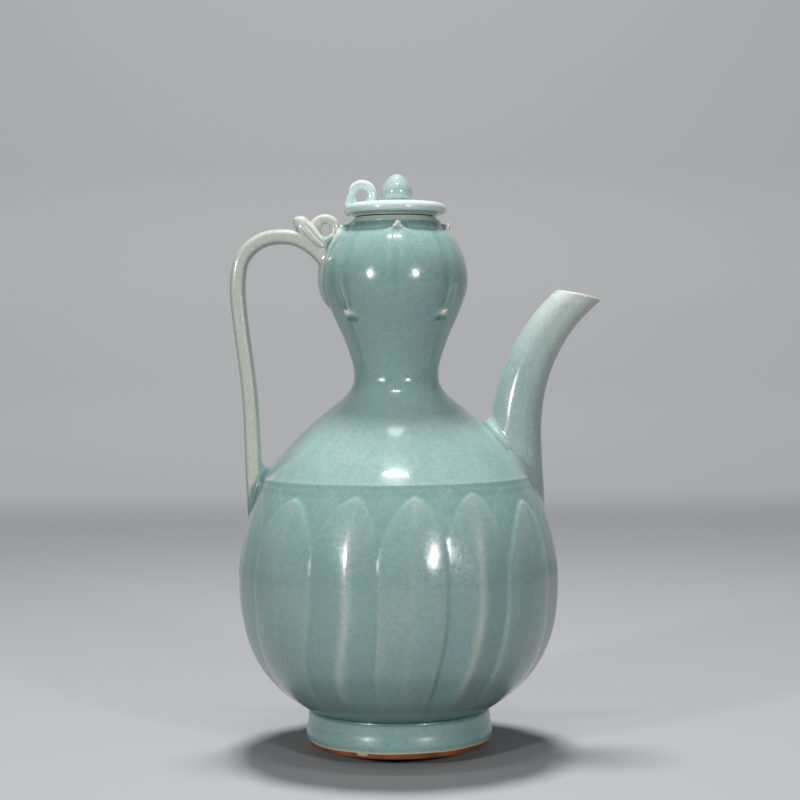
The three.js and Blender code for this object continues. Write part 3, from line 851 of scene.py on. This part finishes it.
outer_rows = points_along(tube, along, leave + (outer_end - leave) * shares)
bore_rows = []
for i, (side, up, width, thick) in enumerate(spout_rows):
    spout_wall = 4.2 - 2 * i / (len(spout_rows) - 1)
    bore_rows.append((side, up, width - spout_wall, thick - spout_wall))
bore, _ = bent_rod(bore_rows, 320, spout_columns)
bore_along = along_columns(bore)
bore_lip = bore_along[last_inside((bore - mouth_middle) @ mouth_normal), columns]
bore_floor = 95  # the bore's ring that lies just inside the body
bore_start = np.full(spout_columns, bore_along[bore_floor].mean())
bore_shares = np.linspace(1, 0, 40)[:, None]
bore_points = points_along(bore, bore_along, bore_start + (bore_lip - 1.5 - bore_start) * bore_shares)
outer_top = points_along(tube, along, (lip + 0.35 - 0.9 * outward)[None])[0]
inner_top = points_along(bore, bore_along, (bore_lip + 0.35)[None])[0]
t = shares_of(13)[1:-1, None, None]
lip_curve = sweep(outer_rows[-1], outer_top, inner_top, bore_points[0], t)
rings = np.concatenate([root, outer_rows, lip_curve, bore_points])
spout_length, bore_step = 90, 2
up_tube = (1 - shares[:, 0]) * spout_length
down_bore = np.arange(len(bore_points)) * bore_step
from_lip = np.concatenate([[spout_length] * len(root), up_tube, [0] * len(lip_curve), down_bore])
seam = 0.95 * hump(np.arange(len(rings)) - 4.5, 2.6)
spout_depth = seam - 0.85 * hump(from_lip, 4) - 0.3 * ease(from_lip, 60, 8) - 0.42
spout = clay_mesh("curved_spout", rings, "joined", glaze_depth=spout_depth[:, None])
stand_for(spout, celadon, "celadon_glaze", "ewer", "spout")

# Handle
# A strap of clay with rounded corners, pulled by hand, arched over and pressed down at both ends.
# Its glaze is pale along the middle, partly thin glaze and partly painted light, and a little darker
# where it slid to the edges.
handle_rows = [
    (-27.5, 221, 4.5, 3.4), (-30.2, 230, 5.4, 3.7), (-34.6, 238, 6, 3.9), (-40.8, 244.3, 6.1, 3.9),
    (-48.6, 248.6, 6.1, 3.85), (-56.6, 249.6, 6.1, 3.8), (-64.6, 248.3, 6.1, 3.8),
    (-71.4, 244, 6.1, 3.8), (-75.8, 237.6, 6.1, 3.8), (-77.45, 229, 6.1, 3.85),
    (-77.6, 220, 6.1, 3.85), (-76.2, 205, 6.1, 3.85), (-73.9, 187, 6.1, 3.85),
    (-72.2, 170, 6.2, 3.9), (-71.4, 153, 6.3, 4), (-70.9, 137, 6.5, 4.05), (-70.5, 125, 6.6, 4.05),
    (-69.8, 112, 6.6, 4.0), (-67.5, 98, 6.4, 3.8),
]
strap, strap_middle = bent_rod(handle_rows, 420, 72, 3)
half_way = 210
handle_angle = all_round(72)
above = 0.5 + 0.5 * np.sin(handle_angle)
top_root, top_leave = smoothed_root(strap[:half_way], strap_middle[:half_way], 1.6 + 1.6 * above)
below = (1 - above) ** 2
back, back_middle = strap[::-1][:half_way], strap_middle[::-1][:half_way]
back_root, back_leave = smoothed_root(back, back_middle, 2.6 + 8.4 * below, 0.35 * below)
along = along_columns(strap)
foot_leave = along[-1] - back_leave
shares = shares_of(260)[1:-1, None]
strap_rows = points_along(strap, along, top_leave + (foot_leave - top_leave) * shares)
rings = np.concatenate([top_root, strap_rows, back_root[::-1]])
flat_side = np.abs(np.cos(handle_angle)) ** 0.6
edge_band = hump(np.abs(np.sin(handle_angle)) - 0.72, 0.2)
row = np.arange(len(rings))[:, None]
top_end = hump(row - 4, 3) * above**2
foot_end = hump(row - len(rings) + 7, 3.5)
web_top = 150  # below this the glaze gathers behind the handle's foot
low_share = ease(rings[..., 2], web_top - 5, web_top - 42)
web = ease(1 - above + 1.3 * low_share, 1, 1.3) * ease(rings[..., 2], web_top, web_top - 12)
# The flat sides are made paler partly as painted light, for the light that falls on the handle.
handle_depth = (-0.72 * flat_side - 0.15) * (1 - web) + 0.15 * edge_band + 0.25 * web
handle_depth = handle_depth + 0.6 * top_end + 0.5 * foot_end
handle = clay_mesh("strap_handle", rings, "closed", glaze_depth=handle_depth)
pale_celadon = glazed("pale_celadon", thinned=(0.56, 0.575, 0.515, 1))
stand_for(handle, pale_celadon, "celadon_glaze", "ewer", "handle")

# Twig
# A pinched roll of clay with two furrows, stuck on the handle beside the bulb like the stub of a
# stalk. Its glaze is set at its thinnest and palest, partly thin glaze and partly painted sheen for
# the light caught on it, and it gathered below.
twig_rows = [
    (-50.2, 256.6, 1.2, 1.1), (-49.5, 256.6, 3, 2.5), (-48.1, 256.5, 4.4, 3.2),
    (-46.2, 256, 5.4, 3.9), (-44.6, 254, 6, 4.4), (-42.9, 251.9, 6.5, 4.7), (-40.4, 249, 6.9, 4.5),
    (-37.7, 246.5, 7.1, 3.9), (-35.5, 244.9, 6.8, 3.1), (-33.8, 244, 5.6, 2), (-32.8, 243.4, 3, 1),
]
rings, middle = bent_rod(twig_rows, 90, 64, 2.5)
angle = all_round(64)
along_twig = shares_of(90)[:, None]
furrow = hump(np.sin(angle) - 0.4, 0.1) + hump(np.sin(angle) + 0.3, 0.1)
furrow_share = 0.13 * furrow * ease(along_twig, 0.25, 0.45) * ease(along_twig, 0.97, 0.8)
rings = rings + (middle[:, None] - rings) * furrow_share[..., None]
under = ease(np.sin(angle), 0.3, 1)
# The glaze depth starts at -1, its thinnest: painted sheen on the twig, with gathered glaze below.
twig = clay_mesh("twig", rings, "closed", glaze_depth=-1 + 1.1 * under + 0.4 * furrow * along_twig)
stand_for(twig, pale_celadon, "celadon_glaze", "ewer", "handle_twig")

# Ring on the handle
# A small loop of rolled clay for the lid's cord, which stands on the twig. Its ends were pressed
# down and drawn to a point.
ring_turn = all_round(96)[:, None]
turn_up = np.sin(ring_turn)
ring_section = all_round(28)


def clay_loop(centre, hole, outline, half_depth):
    """Rings of points round a loop, from the radii of its hole and outline at each turn."""
    radius = (hole + outline) / 2 + (outline - hole) / 2 * np.cos(ring_section)
    across, up = centre[0] + radius * np.cos(ring_turn), centre[1] + radius * turn_up
    return np.stack([across, half_depth * np.sin(ring_section), up], axis=-1)


# The ring is round above, and straight down its right side to a point on the twig.
turned_by = [-90, -70, -50, -30, -10, 5, 23, 45, 70, 99, 125, 150, 180, 215, 240, 255, 270]
reach = [9, 7.2, 6.1, 5.9, 6.4, 6.9, 7.3, 7.5, 7.65, 7.85, 8.1, 8.5, 8, 7.4, 7.4, 8.1, 9]
outline = np.interp((np.degrees(ring_turn) + 90) % 360 - 90, turned_by, reach)
hole = 2.4 + 0.5 * turn_up**2
half_depth = 2.35 + 3.6 * ease(-turn_up, 0.35, 0.95)
handle_ring = clay_mesh(
    "handle_cord_ring",
    clay_loop((-34, 252.85), hole, outline, half_depth),
    "joined",
    # Nearly the thinnest glaze all over: painted sheen for the light caught on the ring; darker low down
    # where glaze gathered.
    glaze_depth=-0.95 + 0.5 * ease(-turn_up, 0.3, 1),
)
stand_for(handle_ring, pale_celadon, "celadon_glaze", "ewer", "handle_ring")

# Pinched tips
# Where each petal of the upper bulb ends the clay was pinched between two fingers into a small
# beak. The glaze ran off the beaks, which are cream.
def stand_beaks(kind, rows, azimuths, pale_from, pale_to):
    """Tapering rods that stand out of the bulb at azimuths in degrees. Their glaze turns pale
    between two shares of the way up."""
    up_beak = shares_of(40)[:, None]
    depth = 1 - 1.9 * ease(up_beak, pale_from, pale_to)
    rings, _ = bent_rod(rows, len(up_beak), 32)
    for i, azimuth in enumerate(azimuths, 1):
        turn_by = math.radians(azimuth) - math.pi / 2
        cosine, sine = math.cos(turn_by), math.sin(turn_by)
        turn = np.array([[cosine, sine, 0], [-sine, cosine, 0], [0, 0, 1]])
        piece = clay_mesh(f"{kind}_beak_{i}", rings @ turn, "closed", glaze_depth=depth)
        stand_for(piece, cream_glaze, "thin_pale_glaze", "ewer", f"{kind}_tip_{i}")


crown_beak = [
    (24.2, -3, 6, 2.1), (24.9, -1.1, 5.2, 1.9), (25.5, 0.4, 3.7, 1.55), (25.9, 1.5, 2.3, 1.25),
    (26.2, 2.4, 1.5, 1.1), (26.4, 3.1, 1.05, 0.85), (26.4, 3.5, 0.5, 0.45),
]
stand_beaks("crown", set_at(0, crown_height, crown_beak), (crown_lean, 90, 180, 270), 0.45, 0.9)

wall_there = float(plain_radius(stud_height))
petal_beak = [
    (-3, -0.9, 3.4, 2.3), (-0.2, -0.6, 2.7, 1.8), (0.9, -0.3, 1.9, 1.3), (1.7, 0.15, 1.25, 0.9),
    (2.3, 0.7, 0.9, 0.7), (2.7, 1.2, 0.6, 0.5), (2.8, 1.5, 0.25, 0.22),
]
stud_azimuths = (stud_azimuth, 180 - stud_azimuth, 180 + stud_azimuth, -stud_azimuth)
stand_beaks("petal", set_at(wall_there, stud_height, petal_beak), stud_azimuths, 0.4, 0.75)

# Lid
# A thick disc of stoneware, turned with a well rounded edge and thinly glazed. It lies loose on
# the mouth rim.
lid_seat, lid_top = (corner.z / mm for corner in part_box("lid_plate"))
lid_outline = [
    (0.4, 0), (10, 0), (20, 0.02), (21, 0.5), (22.2, 0.95), (23.5, 1.15), (24.7, 1.75),
    (25.25, 2.9), (25.25, 3.9), (24.75, 5.2), (23.4, 6.15), (21.2, 6.7), (18, 6.85), (10, 6.85),
    (0.4, lid_top - lid_seat),
]
radius, height = curve_through(set_at(0, lid_seat, lid_outline), 110).T[:, :, None]
edge = ease(radius, 18, 24)
sway = 0.12 * np.sin(2 * rim_around - 0.5) + 0.05 * np.sin(5 * rim_around)
lid_rings = turned(radius - (0.14 + sway) * edge, height, rim_around) + (0.4, 0, 0)
under = ease(height, lid_seat + 2.4, lid_seat + 1)
top_thin = ease(height, lid_seat + 4.4, lid_seat + 6.4)
# The glaze is set near its thinnest all over the lid, partly thin glaze and partly painted light: it
# lightens the lid to stand in for the light on it.
lid_depth = 0.5 * under - 0.1 * top_thin - 0.9
lid_plate = clay_mesh("lid_plate_glazed", lid_rings, "closed", glaze_depth=lid_depth)
# A lighter, greener copy of the celadon: the green is the lid's own tint, the lightness is painted
# light.
lid_painted_light_glaze = glazed("celadon_lid_painted_light", thinned=(0.62, 0.74, 0.7, 1))
stand_for(lid_plate, lid_painted_light_glaze, "celadon_glaze", "lid", "lid_plate")

# Flange
# A short turned collar, luted under the lid to keep it in the mouth. It was wiped bare of glaze,
# so its clay has burnt brown.
flange_low, flange_high = (corner.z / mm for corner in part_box("lid_flange"))
flange_rise = flange_high - flange_low
flange_outline = [
    (11.95, flange_rise), (14.85, flange_rise), (14.85, 1), (14.4, 0.2), (13.6, 0.02), (12.5, 0.1),
    (11.95, 0.8), (11.95, flange_rise - 0.4),
]
radius, height = curve_through(set_at(0, flange_low, flange_outline), 70).T[:, :, None]
height = np.clip(height, flange_low, flange_high)
flange = clay_mesh("lid_collar", turned(radius, height, rim_around), "joined")
material, tree, shader, place = new_material("bare_clay")
clay = clay_on(tree, place)
join_surface(tree, shader, clay["Colour"], clay["Roughness"], clay["Height"])
stand_for(flange, material, "bare_stoneware", "lid", "lid_flange")

# Knob
# A closed bud of clay, modelled in the hand and stuck on the lid a little towards the spout. The
# glaze is thin on its point and gathers at its base.
knob_low, knob_top = (corner.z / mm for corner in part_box("lid_knob"))
knob_rise = knob_top - knob_low
knob_outline = [
    (0.3, -0.6), (5.6, -0.6), (5.9, 0), (6.75, 1.5), (7.3, 3.4), (7.4, 5), (7.1, 6.7), (6.3, 8.6),
    (4.9, 10.7), (3.3, 12.4), (1.9, 13.3), (0.9, knob_rise - 0.12), (0.2, knob_rise),
]
radius, height = curve_through(set_at(0, knob_low, knob_outline), 80).T[:, :, None]
knob_around = all_round(120)
pressed = 0.1 * np.sin(2 * knob_around + 1) * ease(height, knob_top - 2, knob_low + 6)
knob_radius = np.maximum(1.06 * radius - 0.1 + pressed, 0.15)
knob_rings = turned(knob_radius, np.minimum(height, knob_top), knob_around) + (1.1, 0, 0)
knob_base = ease(height, knob_low + 2, knob_low)
knob_point = ease(height, knob_top - 3, knob_top)
knob_depth = 0.9 * knob_base - 0.3 * knob_point - 0.48
knob = clay_mesh("bud_knob", knob_rings, "closed", glaze_depth=knob_depth)
stand_for(knob, celadon, "celadon_glaze", "lid", "lid_knob")

# Ring on the lid
# A loop of rolled clay for the cord, stuck on beside the knob. Its outer end was folded down over
# the lid's edge and smoothed on.
outline = 7.35 + 0.35 * np.cos(ring_turn) + 0.25 * turn_up
half_depth = 2.5 + 0.5 * ease(-turn_up, 0.3, 1)
lid_ring_rings = clay_loop((-16.3, lid_seat + 10.8), 2.7, outline, half_depth)
lid_ring = clay_mesh("lid_cord_ring", lid_ring_rings, "joined", glaze_depth=-0.75)
fold_rows = [
    (-19.9, 14.2, 1.6, 1.3), (-20.9, 12.1, 2.3, 1.9), (-21.6, 9.7, 2.9, 2.2),
    (-22.2, 7.3, 3.4, 2.4), (-22.65, 5.2, 3.9, 2.55), (-22.75, 3.5, 3.9, 2.55),
    (-22.7, 2, 3.3, 2.1), (-22.5, 1.1, 2, 1.2), (-22.4, 0.9, 0.6, 0.4),
]
fold_rings, _ = bent_rod(set_at(0, lid_seat, fold_rows), 60, 40)
fold = clay_mesh("lid_ring_fold", fold_rings, "closed", glaze_depth=-0.68)
bpy.context.view_layer.objects.active = lid_ring
lid_ring.select_set(True)
fold.select_set(True)
bpy.ops.object.join()
stand_for(lid_ring, lid_painted_light_glaze, "celadon_glaze", "lid", "lid_ring")

# Floor, light and backdrop
# A pale sweep of paper, lit by three lamps overhead and two smaller ones at the front. The large
# lamp overhead gives most of the light.
paper_reach = 3.0
sweep_points = [(-paper_reach, 0), (0.9, 0), (1.25, 0.06), (1.5, 0.25), (1.62, 0.6), (1.66, paper_reach)]
sweep_curve = curve_through(sweep_points, 60)
paper_mesh = bpy.data.meshes.new("paper")
paper_points = [(x, y, z) for y, z in sweep_curve for x in (-paper_reach, paper_reach)]
paper_faces = [(2 * i, 2 * i + 1, 2 * i + 3, 2 * i + 2) for i in range(len(sweep_curve) - 1)]
paper_mesh.from_pydata(paper_points, [], paper_faces)
paper_mesh.shade_smooth()
paper = bpy.data.objects.new("paper", paper_mesh)
scene.collection.objects.link(paper)


def seen_rays(tree):
    """1 for what the camera sees, also by reflection or through glass, and 0 for other light."""
    rays = add_node(tree, "LightPath").outputs
    seen = sum_of(tree, rays["Is Camera Ray"], rays["Is Glossy Ray"])
    seen = sum_of(tree, seen, rays["Is Transmission Ray"])
    return stretch(tree, seen, 0, 1)


material, tree, shader, place = new_material("pale_paper")
seen = seen_rays(tree)
away = add_node(tree, "VectorMath", {0: place}, operation="LENGTH").outputs["Value"]
near_paper, far_paper = (0.36, 0.365, 0.37, 1), (0.85, 0.855, 0.86, 1)
dark_paper = (0.06, 0.06, 0.06, 1)
shown = blend_colours(tree, stretch(tree, away, 0.8, 2.9), near_paper, far_paper)
tree.links.new(blend_colours(tree, seen, dark_paper, shown), shader.inputs["Base Color"])
shader.inputs["Roughness"].default_value = 0.9
shader.inputs["Specular IOR Level"].default_value = 0.1
paper_mesh.materials.append(material)
waist = Vector((axis_x, 0, 0.15))


def lamp(name, place, size, power, mirrored=True):
    """A soft round lamp. One that isn't mirrored lights the glaze but leaves no highlight on it."""
    light = bpy.data.lights.new(name, "AREA")
    light.shape = "ELLIPSE"
    light.size, light.size_y = size
    light.energy = power
    holder = bpy.data.objects.new(name, light)
    scene.collection.objects.link(holder)
    holder.location = place
    holder.visible_glossy = mirrored
    holder.rotation_euler = (waist - Vector(place)).to_track_quat("-Z", "Y").to_euler()


lamp("overhead", (axis_x - 0.02, 0.17, 1.7), (0.36, 0.36), 32, mirrored=False)
lamp("overhead_small", (axis_x - 0.02, 0.1, 1.7), (0.26, 0.26), 0.9)
lamp("overhead_strip", (axis_x - 0.03, -0.52, 1.55), (0.42, 0.035), 3.2)
lamp("front_left", (axis_x - 1.1, -1.31, 0.54), (0.19, 0.19), 13.6)
lamp("front_right", (axis_x + 0.88, -1.43, 0.54), (0.19, 0.19), 10.2)
world = bpy.data.worlds.new("room")
scene.world = world
world.use_nodes = True
tree = world.node_tree
room = tree.nodes["Background"]
room.inputs["Color"].default_value = (0.93, 0.96, 1, 1)
tree.links.new(stretch(tree, seen_rays(tree), 0, 1, 0.09, 0.25), room.inputs["Strength"])
scene.view_settings.view_transform = "Standard"
